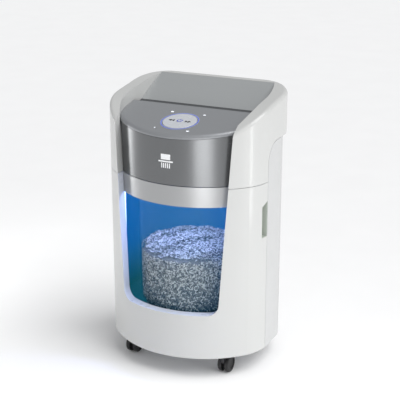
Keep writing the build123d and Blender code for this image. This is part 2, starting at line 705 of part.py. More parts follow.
def power_inlet():
    """Mains inlet with an on/off rocker opening, set in the rear wall."""
    back = CABINET_BACK_Y
    body = block(INLET_X - INLET_HALF_X + FIT, INLET_X + INLET_HALF_X - FIT, back - 30, back - 2,
                 INLET_Z - INLET_HALF_Z + FIT, INLET_Z + INLET_HALF_Z - FIT)
    flange = block(INLET_X - INLET_HALF_X - 4, INLET_X + INLET_HALF_X + 4, back, back + 1.4,
                   INLET_Z - INLET_HALF_Z - 4, INLET_Z + INLET_HALF_Z + 4)
    neck = block(INLET_X - INLET_HALF_X + FIT, INLET_X + INLET_HALF_X - FIT, back - 2, back,
                 INLET_Z - INLET_HALF_Z + FIT, INLET_Z + INLET_HALF_Z - FIT)
    socket = block(INLET_X - 22, INLET_X + 2, back - SOCKET_WELL_DEPTH, FAR, INLET_Z - 8.5, INLET_Z + 8.5)
    rocker_well = block(INLET_X + ROCKER_X - 8, INLET_X + ROCKER_X + 8, back - ROCKER_WELL_DEPTH, FAR,
                        INLET_Z - 11, INLET_Z + 11)
    body = body + neck + flange - socket - rocker_well
    for pin_x, pin_z in ((-17, -3), (-10, 3), (-3, -3)):
        x = INLET_X + pin_x
        z = INLET_Z + pin_z
        body += block(x - PIN_R, x + PIN_R, back - SOCKET_WELL_DEPTH - 1, back - 8, z - 2, z + 2)
    return body


def power_rocker():
    """Rocker key of the mains switch, with its far end pressed in."""
    x = INLET_X + ROCKER_X
    back = CABINET_BACK_Y
    face = Plane.YZ * make_face(Polyline((back - 6, INLET_Z - 8.4), (back + 2.6, INLET_Z - 8.4),
                                         (back + 0.4, INLET_Z), (back + 0.4, INLET_Z + 8.4),
                                         (back - 6, INLET_Z + 8.4), close=True))
    return Pos(x, 0, 0) * extrude(face, 7.2, both=True)


# ---------------------------------------------------------------- drawer
def drawer_front_shell():
    """White front of the drawer with the window opening, its reveal and the side grips."""
    shell = column(cabinet_outline(0), SHELL_BOTTOM, SEAM_Z - GAP)
    shell -= block(-FAR, FAR, DRAWER_SEAM_Y, FAR, 0, 900)
    bottom_edges = [e for e in shell.edges() if e.center().Z < SHELL_BOTTOM + 0.1 and e.center().Y < -60]
    shell = fillet(bottom_edges, 2.5)
    hollow = column(cabinet_outline(WALL), 0, 900)
    reveal = bay_prism(WALL, WINDOW_BOTTOM - WALL, 700, DRAWER_SEAM_Y, WINDOW_CORNER + WALL)
    reveal &= column(cabinet_outline(0), 0, 900)
    reveal -= column(cabinet_outline(BAY_INSET + 2), 0, 900)
    shell -= hollow - reveal
    shell -= bay_prism(0, WINDOW_BOTTOM, 700, DRAWER_SEAM_Y, WINDOW_CORNER)
    pocket = grip_pocket(0)
    return shell - pocket - mirrored(pocket)


def grip_pocket(inset):
    """Finger space at the rear edge of the drawer front, with a slanting roof."""
    front = GRIP_FRONT_Y + inset
    rear = DRAWER_SEAM_Y + 1 - inset * 2
    low = GRIP_BOTTOM + inset
    high = GRIP_TOP - inset
    points = [(front, low), (rear, low), (rear, high), (front, high - 10)]
    face = Plane.YZ.offset(GRIP_INNER_X + inset) * make_face(Polyline(*points, close=True))
    return extrude(face, 60)


def grip_liners():
    """Grey-green cups that line the finger grips."""
    outer = grip_pocket(0.0) & column(cabinet_outline(0.2), 0, 900)
    outer -= block(0, FAR, DRAWER_SEAM_Y, FAR, 0, 900)
    liner = outer - grip_pocket(1.5)
    return both_sides(liner)


def silver_band():
    """Silver trim across the top of the window pane."""
    return bay_shell(BAY_INSET, 2) & bay_prism(-FIT, BAND_BOTTOM, SEAM_Z - GAP, BAY_BACK_Y)


def window_pane():
    pane = bay_shell(BAY_INSET + 2, 2.5)
    return pane & bay_prism(6, WINDOW_BOTTOM - 6, SEAM_Z - GAP, BAY_BACK_Y, WINDOW_CORNER)


def drawer_floor_face(inset):
    return outline(LINER_INSET + inset, LINER_BACK_Y + LINER_INSET, LINER_CORNER_R)


def drawer_tray():
    """Floor of the drawer, which carries the turntable and hangs on the runners."""
    tray = column(drawer_floor_face(0), TRAY_Z, TRAY_Z + TRAY_THICK)
    front = column(cabinet_outline(WALL), TRAY_Z, TRAY_Z + TRAY_THICK)
    tray += front - block(-FAR, FAR, DRAWER_SEAM_Y - 22, FAR, 0, 900)
    for x in (-100, 100):
        tray += block(x - 1.5, x + 1.5, -90, 100, TRAY_Z - 14, TRAY_Z)
    return tray - z_rod(BEARING_HOLE_R, 0, 200, 0, 0)


def turntable_bearing():
    flange = z_rod(BEARING_HOLE_R + 6, TRAY_Z - 3, TRAY_Z, 0, 0)
    ring = z_rod(BEARING_HOLE_R, TRAY_Z - 3, TURNTABLE_BOTTOM - 0.3, 0, 0) + flange
    return ring - z_rod(HUB_R + RUNNING, 0, 200, 0, 0)


def chamber_liner():
    """Blue-lit wall round the bin, from behind one end of the window to the other."""
    liner = column(drawer_floor_face(0), TRAY_Z + TRAY_THICK, LINER_TOP)
    liner -= column(drawer_floor_face(2), 0, 900)
    return liner - block(-FAR, FAR, -FAR, -78, 0, 900)


def window_light_strips():
    """Light strips that stand behind both ends of the window."""
    return both_sides(block(141, 147, -66, -58, TRAY_Z + TRAY_THICK, 384))


def bin_gearmotor():
    """Small geared motor under the drawer floor that turns the bin."""
    x = BIN_PINION_X
    low, high = GEARMOTOR_Z
    can_bottom = low - 16
    post_r = 3
    body = block(x - GEARMOTOR_HALF, x + GEARMOTOR_HALF, -16, 16, low, high)
    body += z_rod(GEARMOTOR_CAN_R, can_bottom, low, x, 0)
    for y in (-12, 12):
        body += z_rod(post_r, high, TRAY_Z, x + 15, y)
    return body - z_rod(GEARMOTOR_SHAFT_R + RUNNING, high - 12, 200, x, 0)


# ---------------------------------------------------------------- rotating bin
def turntable():
    """Turning plate under the bin, with a hub through the drawer floor."""
    plate = z_rod(TURNTABLE_R, TURNTABLE_BOTTOM, BIN_BOTTOM, 0, 0)
    plate -= z_rod(TURNTABLE_R - 8, BIN_BOTTOM - 3, 200, 0, 0)
    plate += z_rod(60, BIN_BOTTOM - 4, BIN_BOTTOM, 0, 0)
    return plate + z_rod(HUB_R, HUB_BOTTOM, TURNTABLE_BOTTOM, 0, 0)


def turntable_gear():
    return z_gear(TURNTABLE_TEETH, 0.0, HUB_R, GEAR_Z[0], GEAR_Z[1], 0, 0)


def bin_pinion():
    gear = z_gear(BIN_PINION_TEETH, 180 / BIN_PINION_TEETH, 1, GEAR_Z[0], GEAR_Z[1], BIN_PINION_X, 0)
    return gear + z_rod(GEARMOTOR_SHAFT_R, GEARMOTOR_Z[1] - 11, GEAR_Z[1] + 2, BIN_PINION_X, 0)


def shred_bin():
    """Clear round bin with a rounded foot and a stiff rim."""
    foot_r = BIN_R - 5
    section = make_face(Polyline((0, BIN_BOTTOM), (foot_r, BIN_BOTTOM), (BIN_R - 2, BIN_TOP - 14),
                                 (BIN_R - 2, BIN_TOP), (0, BIN_TOP), close=True))
    outer = revolve(Plane.XZ * section, Axis.Z)
    outer = fillet(outer.edges().sort_by(Axis.Z)[0], 12)
    rim = z_rod(BIN_R, BIN_TOP - 10, BIN_TOP, 0, 0)
    inner_section = make_face(Polyline((0, BIN_BOTTOM + BIN_WALL), (foot_r - BIN_WALL, BIN_BOTTOM + BIN_WALL),
                                       (BIN_R - 2 - BIN_WALL, BIN_TOP - 14),
                                       (BIN_R - 2 - BIN_WALL, BIN_TOP + 5), (0, BIN_TOP + 5), close=True))
    inner = revolve(Plane.XZ * inner_section, Axis.Z)
    inner = fillet(inner.edges().sort_by(Axis.Z)[0], 10)
    return outer + rim - inner


# ---------------------------------------------------------------- casters
def caster_places():
    return [(x, y) for y in (CASTER_FRONT_Y, CASTER_REAR_Y) for x in (-CASTER_X, CASTER_X)]


def caster_sockets():
    """Sleeves in the base plate that hold the caster stems."""
    sockets = []
    for x, y in caster_places():
        sleeve = z_rod(SOCKET_R, BASE_Z - 3, BASE_Z + 20, x, y)
        sleeve -= z_rod(STEM_R + RUNNING, 0, BASE_Z + 18, x, y)
        sockets.append(sleeve)
    return Compound(sockets)


def caster_fork(x, y):
    """Stem, hood and axle block of one twin-wheel caster."""
    collar_z = AXLE_Z + WHEEL_R + 0.6
    stem = z_rod(STEM_R, collar_z, BASE_Z + 17, x, y)
    collar = z_rod(8, collar_z, BASE_Z - 3.3, x, y)
    half = WHEEL_GAP / 2 - FIT
    axle_y = y + CASTER_TRAIL
    profile = [(y - 8, collar_z + 1), (y + 8, collar_z + 1), (axle_y + 7, AXLE_Z + 12),
               (axle_y + 7, AXLE_Z - 5), (axle_y - 6, AXLE_Z - 5), (y - 8, AXLE_Z + 8)]
    face = make_face(Polyline(*profile, close=True))
    body = extrude(Plane.YZ.offset(x) * face, half, both=True)
    return stem + collar + body - x_rod(AXLE_R + RUNNING, x - 20, x + 20, axle_y, AXLE_Z)


def caster_wheels(x, y):
    """Twin wheels with dished hubs, and the axle they are pressed on."""
    axle_y = y + CASTER_TRAIL
    inner = WHEEL_GAP / 2
    outer = inner + WHEEL_WIDTH
    axle = x_rod(AXLE_R, x - inner - 6, x + inner + 6, axle_y, AXLE_Z)
    wheel = x_rod(WHEEL_R, inner, outer, axle_y, AXLE_Z)
    wheel = fillet(wheel.edges().filter_by(GeomType.CIRCLE).sort_by(Axis.X)[-1], 2.5)
    wheel -= x_rod(HUB_DISH_R, outer - 1.5, outer + 1, axle_y, AXLE_Z)
    return Compound([axle, Pos(x, 0, 0) * wheel - axle, Pos(x, 0, 0) * mirrored(wheel) - axle])


# ---------------------------------------------------------------- all pieces
def build_all():
    right_wing, left_wing, rear_cover = split_head(head_ring())
    parts = {
        "rear_cabinet_shell": rear_cabinet_shell(),
        "base_plate": base_plate(),
        "left_wing": left_wing,
        "right_wing": right_wing,
        "head_rear_cover": rear_cover,
        "front_panel": front_panel(),
        "control_deck": control_deck(),
        "feed_slot_trough": feed_slot_trough(),
        "rear_slope_panel": rear_slope_panel(),
        "light_ring": light_ring(),
        "indicator_lenses": indicator_lenses(),
        "front_badge": front_badge(),
        "panel_board": panel_board(),
        "head_chassis": head_chassis(),
        "chamber_light_bar": chamber_light_bar(),
        "cutter_side_plates": cutter_side_plates(),
        "cutter_tie_rods": cutter_tie_rods(),
        "cutter_bearings": cutter_bearings(),
        "stripper_combs": stripper_combs(),
        "motor_housing": motor_housing(),
        "gearbox_cover": gearbox_cover(),
        "control_board": control_board(),
        "run_capacitor": run_capacitor(),
        "cabinet_rails": cabinet_rails(),
        "slide_middle_members": slide_middle_members(),
        "door_interlock_switch": door_interlock_switch(),
        "power_inlet": power_inlet(),
        "case_screws": case_screws(),
        "caster_sockets": caster_sockets(),
        "front_cutter": cutter_on_shaft(CUTTER_FRONT_Y, 0.0, SYNC_X[0], PLATE_X + PLATE_THICK - 0.5),
        "front_cutter_gear": sync_gear(CUTTER_FRONT_Y, 180 / SYNC_TEETH),
        "rear_cutter": cutter_on_shaft(CUTTER_REAR_Y, CUTTER_PITCH / 2, SYNC_X[0], DRIVE_X[1]),
        "rear_cutter_gear": rear_cutter_gear(),
        "reduction_gear": reduction_gear(),
        "motor_shaft": motor_shaft(),
        "drawer_front_shell": drawer_front_shell(),
        "grip_liners": grip_liners(),
        "silver_band": silver_band(),
        "window_pane": window_pane(),
        "drawer_tray": drawer_tray(),
        "chamber_liner": chamber_liner(),
        "window_light_strips": window_light_strips(),
        "drawer_runners": drawer_runners(),
        "turntable_bearing": turntable_bearing(),
        "bin_gearmotor": bin_gearmotor(),
        "turntable": turntable(),
        "turntable_gear": turntable_gear(),
        "shred_bin": shred_bin(),
        "bin_pinion": bin_pinion(),
        "control_disc": control_disc(),
        "power_button": power_button(),
        "power_rocker": power_rocker(),
    }
    for name, (x, y) in zip(("front_left", "front_right", "rear_left", "rear_right"), caster_places()):
        parts["caster_fork_" + name] = caster_fork(x, y)
        parts["caster_wheels_" + name] = caster_wheels(x, y)
    return parts


os.makedirs("parts", exist_ok=True)
for part_name, part_shape in build_all().items():
    export_step(Pos(0, 0, LIFT) * part_shape, "parts/" + part_name + ".step")
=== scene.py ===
import json
import math
import random

import bpy
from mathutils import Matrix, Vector


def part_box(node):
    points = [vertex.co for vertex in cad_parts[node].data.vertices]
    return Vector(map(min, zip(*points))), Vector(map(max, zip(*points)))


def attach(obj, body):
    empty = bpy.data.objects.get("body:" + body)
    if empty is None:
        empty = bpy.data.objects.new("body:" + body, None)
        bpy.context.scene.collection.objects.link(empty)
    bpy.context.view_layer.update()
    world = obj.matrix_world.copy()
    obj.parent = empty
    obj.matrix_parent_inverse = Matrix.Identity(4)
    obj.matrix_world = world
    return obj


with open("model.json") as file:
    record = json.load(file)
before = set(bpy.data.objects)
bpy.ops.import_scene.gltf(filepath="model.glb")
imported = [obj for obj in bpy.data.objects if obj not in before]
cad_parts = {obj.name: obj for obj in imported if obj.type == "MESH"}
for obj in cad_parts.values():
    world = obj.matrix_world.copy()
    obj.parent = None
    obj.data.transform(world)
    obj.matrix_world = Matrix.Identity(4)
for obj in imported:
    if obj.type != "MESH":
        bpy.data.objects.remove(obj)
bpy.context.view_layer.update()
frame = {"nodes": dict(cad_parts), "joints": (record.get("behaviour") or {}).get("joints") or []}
NODES = frame["nodes"]
JOINTS = {joint["name"]: joint for joint in frame["joints"]}
MM = 0.001

# ---------------------------------------------------------------- places taken from the frame
BIN_LOW, BIN_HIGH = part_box("shred_bin")
BIN_MIDDLE_Y = (BIN_LOW.y + BIN_HIGH.y) / 2
TRAY_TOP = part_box("drawer_tray")[1].z
BAR_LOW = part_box("chamber_light_bar")[0]
PANE_LOW, PANE_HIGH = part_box("window_pane")
PANEL_ORIGIN = Vector(JOINTS["control_disc_rock"]["pos_m"])
UP_SLOPE = Vector(JOINTS["control_disc_rock"]["axis"])
ACROSS = Vector((1.0, 0.0, 0.0))
DECK_NORMAL = ACROSS.cross(UP_SLOPE)

# ---------------------------------------------------------------- sizes of the added detail
# On the deck, in millimetres from the middle of the control panel.
RING_LINE = (39.4, 42.2)        # inner and outer radius of the lit line in the ring
RING_LINE_EDGE = 0.5            # width over which the line fades
DISC_TOP = 1.4                  # heights of the printed surfaces
BUTTON_TOP = 1.9
LENS_TOP = 0.3
PRINT = 0.12                    # thickness of the printed marks
PRINT_BASE = 0.02               # how deep they sit in the surface
LENS_X = 39.0                   # the four indicator lights, across
LENS_V = 43.0                   # and up the slope

# In the bin, in metres.
FILL_RADIUS = (BIN_HIGH.x - BIN_LOW.x) / 2 - 0.0075
FILL_BOTTOM = BIN_LOW.z + 0.0032
FILL_MIDDLE = BIN_LOW.z + 0.142
FILL_EDGE = BIN_LOW.z + 0.124
FOOT_ROUNDING = 0.012           # radius of the bin's foot
BIN_FLARE = 0.0028              # growth of the bin's radius over FLARE_RISE
FLARE_RISE = 0.28
WALL_CLEARANCE = 0.0006         # between the paper and the bin
SHRED_COUNT = 8500              # on the heap's side, and again on its top
SHRED_LENGTH = (0.0035, 0.0085)
SHRED_WIDTH = 0.0016
SHRED_CURL = 0.0010
SIDE_DEPTH = (0.0012, 0.0022)   # of the side's shreds within the heap's radius
SIDE_RISE = 0.002               # of their range above the heap's foot and edge
FOOT_MARGIN = 0.006             # least height of their middles above the foot
TOP_MARGIN = 0.011              # of the top's shreds within the heap's radius
TOP_RISE = 0.004                # most height of their middles above the heap
GREY_SHARE = 0.22               # shares of grey and dark shreds; the others are white
DARK_SHARE_TOP = 0.18
DARK_SHARE_SIDE = 0.22
DARK_SHARE_FOOT = 0.38          # added to the side's share at the foot

# ---------------------------------------------------------------- camera
CAMERA_TARGET = Vector((52.5, -72.0, 399.0)) * MM
CAMERA_AZIMUTH = math.radians(25.48)
CAMERA_ELEVATION = math.radians(18.52)
CAMERA_DISTANCE = 2.324
CAMERA_LENS = 95.89
WORLD_STRENGTH = 0.38


def direction(azimuth, elevation):
    """Unit vector towards somebody who stands at that azimuth, counted from the front towards +X."""
    level = math.cos(elevation)
    return Vector((math.sin(azimuth) * level, -math.cos(azimuth) * level, math.sin(elevation)))


def aim(obj, target):
    obj.rotation_euler = (target - obj.location).to_track_quat("-Z", "Y").to_euler()


def make_camera():
    data = bpy.data.cameras.new("camera")
    data.lens = CAMERA_LENS
    data.sensor_width = 36.0
    camera = bpy.data.objects.new("camera", data)
    camera.location = CAMERA_TARGET + direction(CAMERA_AZIMUTH, CAMERA_ELEVATION) * CAMERA_DISTANCE
    aim(camera, CAMERA_TARGET)
    bpy.context.scene.collection.objects.link(camera)
    bpy.context.scene.camera = camera


# ---------------------------------------------------------------- light and floor
def strip_light(name, azimuth, distance, bottom, top, width, power):
    """Upright strip beside the object, whose reflection runs down the shell."""
    data = bpy.data.lights.new(name, "AREA")
    data.shape = "RECTANGLE"
    data.size = width
    data.size_y = top - bottom
    data.energy = power
    lamp = bpy.data.objects.new(name, data)
    lamp.location = direction(math.radians(azimuth), 0.0) * distance
    lamp.location.z = (bottom + top) / 2
    aim(lamp, Vector((0.0, 0.0, lamp.location.z)))
    lamp.visible_camera = False
    bpy.context.scene.collection.objects.link(lamp)


def sky_light(name, azimuth, elevation, spread, power):
    """Wide, even light from far away."""
    data = bpy.data.lights.new(name, "SUN")
    data.angle = math.radians(spread)
    data.energy = power
    lamp = bpy.data.objects.new(name, data)
    lamp.location = direction(math.radians(azimuth), math.radians(elevation)) * 3.0
    aim(lamp, Vector((0.0, 0.0, 0.0)))
    bpy.context.scene.collection.objects.link(lamp)


def make_world():
    world = bpy.data.worlds.new("studio")
    bpy.context.scene.world = world
    world.use_nodes = True
    background = world.node_tree.nodes["Background"]
    background.inputs["Color"].default_value = (0.97, 0.98, 1.0, 1.0)
    background.inputs["Strength"].default_value = WORLD_STRENGTH


def make_floor():
    reach = 30.0
    mesh = bpy.data.meshes.new("studio_floor")
    corners = [(-reach, -reach, 0), (reach, -reach, 0), (reach, reach, 0), (-reach, reach, 0)]
    mesh.from_pydata(corners, [], [(0, 1, 2, 3)])
    floor = bpy.data.objects.new("studio_floor", mesh)
    bpy.context.scene.collection.objects.link(floor)
    material = Surface("studio_floor", (0.96, 0.96, 0.96), 0.7)
    material.mottle(6.0, 0.01)
    mesh.materials.append(material.data)


def chamber_lamp(name, location, target, width, height, power, colour):
    """Light-emitting diodes inside the drawer."""
    data = bpy.data.lights.new(name, "AREA")
    data.shape = "RECTANGLE"
    data.size = width
    data.size_y = height
    data.energy = power
    data.color = colour
    lamp = bpy.data.objects.new(name, data)
    lamp.location = location
    aim(lamp, target)
    bpy.context.scene.collection.objects.link(lamp)


# ---------------------------------------------------------------- materials
class Surface:
    """Principled material with helpers for procedural grain, mottling and gradients."""

    def __init__(self, name, colour, roughness, metallic=0.0, coat=0.0, coat_roughness=0.1, alpha=1.0):
        self.data = bpy.data.materials.new(name)
        self.data.use_nodes = True
        self.tree = self.data.node_tree
        self.shader = self.tree.nodes["Principled BSDF"]
        self.colour = colour
        self.set("Base Color", (*colour, 1.0))
        self.set("Roughness", roughness)
        self.set("Metallic", metallic)
        self.set("Coat Weight", coat)
        self.set("Coat Roughness", coat_roughness)
        self.set("Alpha", alpha)
        self.roughness = roughness
        self.place = self.node("ShaderNodeTexCoord").outputs["Object"]

    def set(self, socket, value):
        self.shader.inputs[socket].default_value = value

    def node(self, kind):
        return self.tree.nodes.new(kind)

    def link(self, source, target):
        self.tree.links.new(source, target)

    def noise(self, scale, detail=3.0, stretch=(1.0, 1.0, 1.0)):
        """Noise of about 1/scale metres, drawn out along an axis by a stretch under 1."""
        mapping = self.node("ShaderNodeMapping")
        mapping.inputs["Scale"].default_value = stretch
        self.link(self.place, mapping.inputs["Vector"])
        noise = self.node("ShaderNodeTexNoise")
        noise.inputs["Scale"].default_value = scale
        noise.inputs["Detail"].default_value = detail
        self.link(mapping.outputs["Vector"], noise.inputs["Vector"])
        return noise.outputs["Fac"]

    def span(self, source, low, high, start=0.3, end=0.7):
        """Map a source that runs from start to end onto low to high."""
        remap = self.node("ShaderNodeMapRange")
        remap.inputs["From Min"].default_value = start
        remap.inputs["From Max"].default_value = end
        remap.inputs["To Min"].default_value = low
        remap.inputs["To Max"].default_value = high
        self.link(source, remap.inputs["Value"])
        return remap.outputs["Result"]

    def blend(self, factor, first, second, socket="Base Color"):
        """Colour that goes from first to second with factor."""
        mix = self.node("ShaderNodeMix")
        mix.data_type = "RGBA"
        mix.inputs["A"].default_value = (*first, 1.0)
        mix.inputs["B"].default_value = (*second, 1.0)
        self.link(factor, mix.inputs["Factor"])
        self.link(mix.outputs["Result"], self.shader.inputs[socket])

    def mottle(self, scale, amount, stretch=(1.0, 1.0, 1.0)):
        """Slight variation of the colour's brightness."""
        dark = [max(0.0, c * (1 - amount)) for c in self.colour]
        light = [min(1.0, c * (1 + amount)) for c in self.colour]
        self.blend(self.span(self.noise(scale, 4.0, stretch), 0.0, 1.0), dark, light)

    def polish(self, scale, spread, stretch=(1.0, 1.0, 1.0)):
        """Variation of the roughness, as handling and moulding leave it."""
        low = max(0.02, self.roughness - spread)
        rough = self.span(self.noise(scale, 3.0, stretch), low, self.roughness + spread)
        self.link(rough, self.shader.inputs["Roughness"])

    def grain(self, scale, depth, detail=2.0, stretch=(1.0, 1.0, 1.0)):
        """Fine relief, depth in metres."""
        bump = self.node("ShaderNodeBump")
        bump.inputs["Strength"].default_value = 1.0
        bump.inputs["Distance"].default_value = depth
        self.link(self.noise(scale, detail, stretch), bump.inputs["Height"])
        self.link(bump.outputs["Normal"], self.shader.inputs["Normal"])

    def glow(self, colour, strength):
        self.set("Emission Color", (*colour, 1.0))
        self.set("Emission Strength", strength)

    def height_factor(self, low, high):
        """0 at the height low and 1 at the height high, in metres."""
        axes = self.node("ShaderNodeSeparateXYZ")
        self.link(self.place, axes.inputs["Vector"])
        return self.span(axes.outputs["Z"], 0.0, 1.0, low, high)


def gloss_shell():
    surface = Surface("gloss_shell", (0.58, 0.585, 0.575), 0.30, coat=0.3, coat_roughness=0.08)
    surface.mottle(9.0, 0.003)
    surface.polish(9.0, 0.01)
    surface.grain(900.0, 0.000004)
    return surface.data


def reveal_painted_glow():
    """The window's reveal, with the chamber's light painted on it: a lighter, bluer colour than the shell
    and a faint painted glow.
    """
    surface = Surface("reveal_painted_glow", (0.66, 0.69, 0.74), 0.3, coat=0.3)
    surface.mottle(14.0, 0.012)
    surface.polish(35.0, 0.04)
    # Painted glow: the reveal is no lamp, and this stands in for the chamber's light falling on it.
    surface.glow((0.45, 0.52, 1.0), 0.03)
    return surface.data


def matte_cabinet():
    surface = Surface("matte_cabinet", (0.58, 0.585, 0.585), 0.55)
    surface.mottle(18.0, 0.015)
    surface.polish(60.0, 0.06)
    surface.grain(1400.0, 0.00006)
    return surface.data


def metallic_paint(name, colour, roughness, metallic, flake=0.06):
    """Silver paint on plastic: flakes that vary the colour and the gloss."""
    surface = Surface(name, colour, roughness, metallic=metallic, coat=0.15, coat_roughness=0.25)
    surface.mottle(2600.0, flake)
    surface.polish(1800.0, 0.05)
    surface.grain(2200.0, 0.000012)
    return surface.data


def satin_plastic(name, colour, roughness, coat=0.0):
    surface = Surface(name, colour, roughness, coat=coat)
    surface.mottle(120.0, 0.04)
    surface.polish(90.0, 0.05)
    surface.grain(1600.0, 0.00004)
    return surface.data


def clear_plastic(name, colour, alpha, roughness):
    surface = Surface(name, colour, roughness, alpha=alpha)
    surface.set("IOR", 1.5)
    surface.polish(25.0, 0.02)
    surface.grain(60.0, 0.00003)
    return surface.data


def chamber_wall_painted_glow():
    """Blue wall of the chamber, deeper at the top and green-blue near the floor, with the chamber's light
    painted on as a glow that is bluer and stronger at the top.
    """
    surface = Surface("chamber_wall_painted_glow", (0.01, 0.07, 0.16), 0.4)
    surface.polish(40.0, 0.05)
    surface.grain(1300.0, 0.00004)
    rise = surface.height_factor(TRAY_TOP, TRAY_TOP + 0.11)
    surface.blend(rise, (0.01, 0.08, 0.10), (0.005, 0.05, 0.16))
    # Painted glow: the liner and the tray are no lamps; this emission stands in for the chamber's blue
    # light falling on them.
    surface.blend(rise, (0.0, 0.085, 0.105), (0.0, 0.145, 0.42), "Emission Color")
    surface.set("Emission Strength", 0.62)
    return surface.data


def lamp_diffuser(name, colour, strength):
    surface = Surface(name, colour, 0.35)
    surface.mottle(200.0, 0.03)
    surface.grain(700.0, 0.00003)
    surface.glow(colour, strength)
    return surface.data


def ring_light():
    """Pale ring with a thin blue line of light along its middle."""
    surface = Surface("ring_blue", (0.62, 0.65, 0.72), 0.3, coat=0.3)
    surface.grain(700.0, 0.00002)
    from_middle = surface.node("ShaderNodeVectorMath")
    from_middle.operation = "DISTANCE"
    from_middle.inputs[1].default_value = PANEL_ORIGIN
    surface.link(surface.place, from_middle.inputs[0])
    radius = from_middle.outputs["Value"]
    inner, outer = RING_LINE
    inside = surface.span(radius, 0.0, 1.0, inner * MM, (inner + RING_LINE_EDGE) * MM)
    outside = surface.span(radius, 1.0, 0.0, (outer - RING_LINE_EDGE) * MM, outer * MM)
    line = surface.node("ShaderNodeMath")
    line.operation = "MULTIPLY"
    surface.link(inside, line.inputs[0])
    surface.link(outside, line.inputs[1])
    surface.blend(line.outputs["Value"], (0.42, 0.45, 0.52), (0.05, 0.09, 0.50))
    surface.blend(line.outputs["Value"], (0.0, 0.0, 0.0), (0.06, 0.10, 0.60), "Emission Color")
    surface.set("Emission Strength", 0.35)
    return surface.data


def brushed_metal(name, colour, roughness, stretch=(0.04, 1.0, 1.0)):
    surface = Surface(name, colour, roughness, metallic=1.0)
    surface.mottle(900.0, 0.08, stretch)
    surface.polish(1100.0, 0.08, stretch)
    surface.grain(1500.0, 0.00001, 2.0, stretch)
    return surface.data


def zinc_plate():
    """Bright zinc plating with its faint spangle."""
    surface = Surface("zinc_plate", (0.62, 0.63, 0.65), 0.36, metallic=0.9)
    surface.mottle(70.0, 0.14)
    surface.polish(160.0, 0.10)
    surface.grain(1200.0, 0.00001)
    return surface.data


def circuit_green():
    surface = Surface("circuit_green", (0.02, 0.16, 0.07), 0.35, coat=0.5)
    surface.mottle(700.0, 0.35, (1.0, 0.15, 1.0))
    surface.grain(900.0, 0.00004)
    return surface.data


def paper(name, colour):
    surface = Surface(name, colour, 0.85)
    surface.mottle(900.0, 0.12)
    surface.grain(2500.0, 0.00003)
    return surface.data


def printed(name, colour, strength=0.0):
    surface = Surface(name, colour, 0.45)
    surface.mottle(1500.0, 0.03)
    surface.grain(2000.0, 0.00001)
    surface.glow(colour, strength)
    return surface.data


MATERIALS = {
    "gloss_shell": gloss_shell(),
    "reveal_painted_glow": reveal_painted_glow(),
    "matte_cabinet": matte_cabinet(),
    "panel_silver": metallic_paint("panel_silver", (0.175, 0.18, 0.185), 0.28, 0.9),
    "band_silver": metallic_paint("band_silver", (0.41, 0.415, 0.42), 0.36, 0.7),
    "deck_grey": metallic_paint("deck_grey", (0.31, 0.32, 0.335), 0.42, 0.35),
    "slope_grey": metallic_paint("slope_grey", (0.42, 0.435, 0.44), 0.45, 0.30),
    "ring_blue": ring_light(),
    "trough_dark": satin_plastic("trough_dark", (0.10, 0.105, 0.11), 0.5),
    "lens_grey": satin_plastic("lens_grey", (0.24, 0.25, 0.265), 0.4),
    "control_white": satin_plastic("control_white", (0.60, 0.62, 0.66), 0.25, 0.4),
    # The badge's white print has a faint painted glow, though it is no lamp.
    "white_print_painted_glow": printed("white_print_painted_glow", (0.86, 0.87, 0.88), 0.12),
    "dark_print": printed("dark_print", (0.03, 0.03, 0.035)),
    "blue_print": printed("blue_print", (0.03, 0.05, 0.42), 0.15),
    "icon_light": printed("icon_light", (0.90, 0.93, 1.0), 0.6),
    "window_clear": clear_plastic("window_clear", (0.04, 0.20, 0.36), 0.05, 0.06),
    "bin_clear": clear_plastic("bin_clear", (0.08, 0.30, 0.50), 0.09, 0.10),
    "chamber_wall_painted_glow": chamber_wall_painted_glow(),
    "light_strip": lamp_diffuser("light_strip", (0.60, 0.80, 1.0), 1.7),
    "grip_green": satin_plastic("grip_green", (0.42, 0.455, 0.41), 0.55),
    "black_plastic": satin_plastic("black_plastic", (0.016, 0.016, 0.018), 0.45),
    "wheel_black": satin_plastic("wheel_black", (0.012, 0.012, 0.013), 0.5),
    "chassis_grey": satin_plastic("chassis_grey", (0.085, 0.087, 0.09), 0.5),
    "nylon": satin_plastic("nylon", (0.72, 0.70, 0.62), 0.4),
    "tool_steel": brushed_metal("tool_steel", (0.42, 0.42, 0.43), 0.3),
    "zinc_plate": zinc_plate(),
    "motor_paint": satin_plastic("motor_paint", (0.03, 0.03, 0.035), 0.38),
    "bronze": brushed_metal("bronze", (0.55, 0.36, 0.16), 0.4),
    "can_aluminium": brushed_metal("can_aluminium", (0.74, 0.75, 0.76), 0.3),
    "circuit_green": circuit_green(),
    "paper_white": paper("paper_white", (0.86, 0.84, 0.79)),
    "paper_grey": paper("paper_grey", (0.24, 0.235, 0.225)),
    "paper_dark": paper("paper_dark", (0.05, 0.05, 0.055)),
}

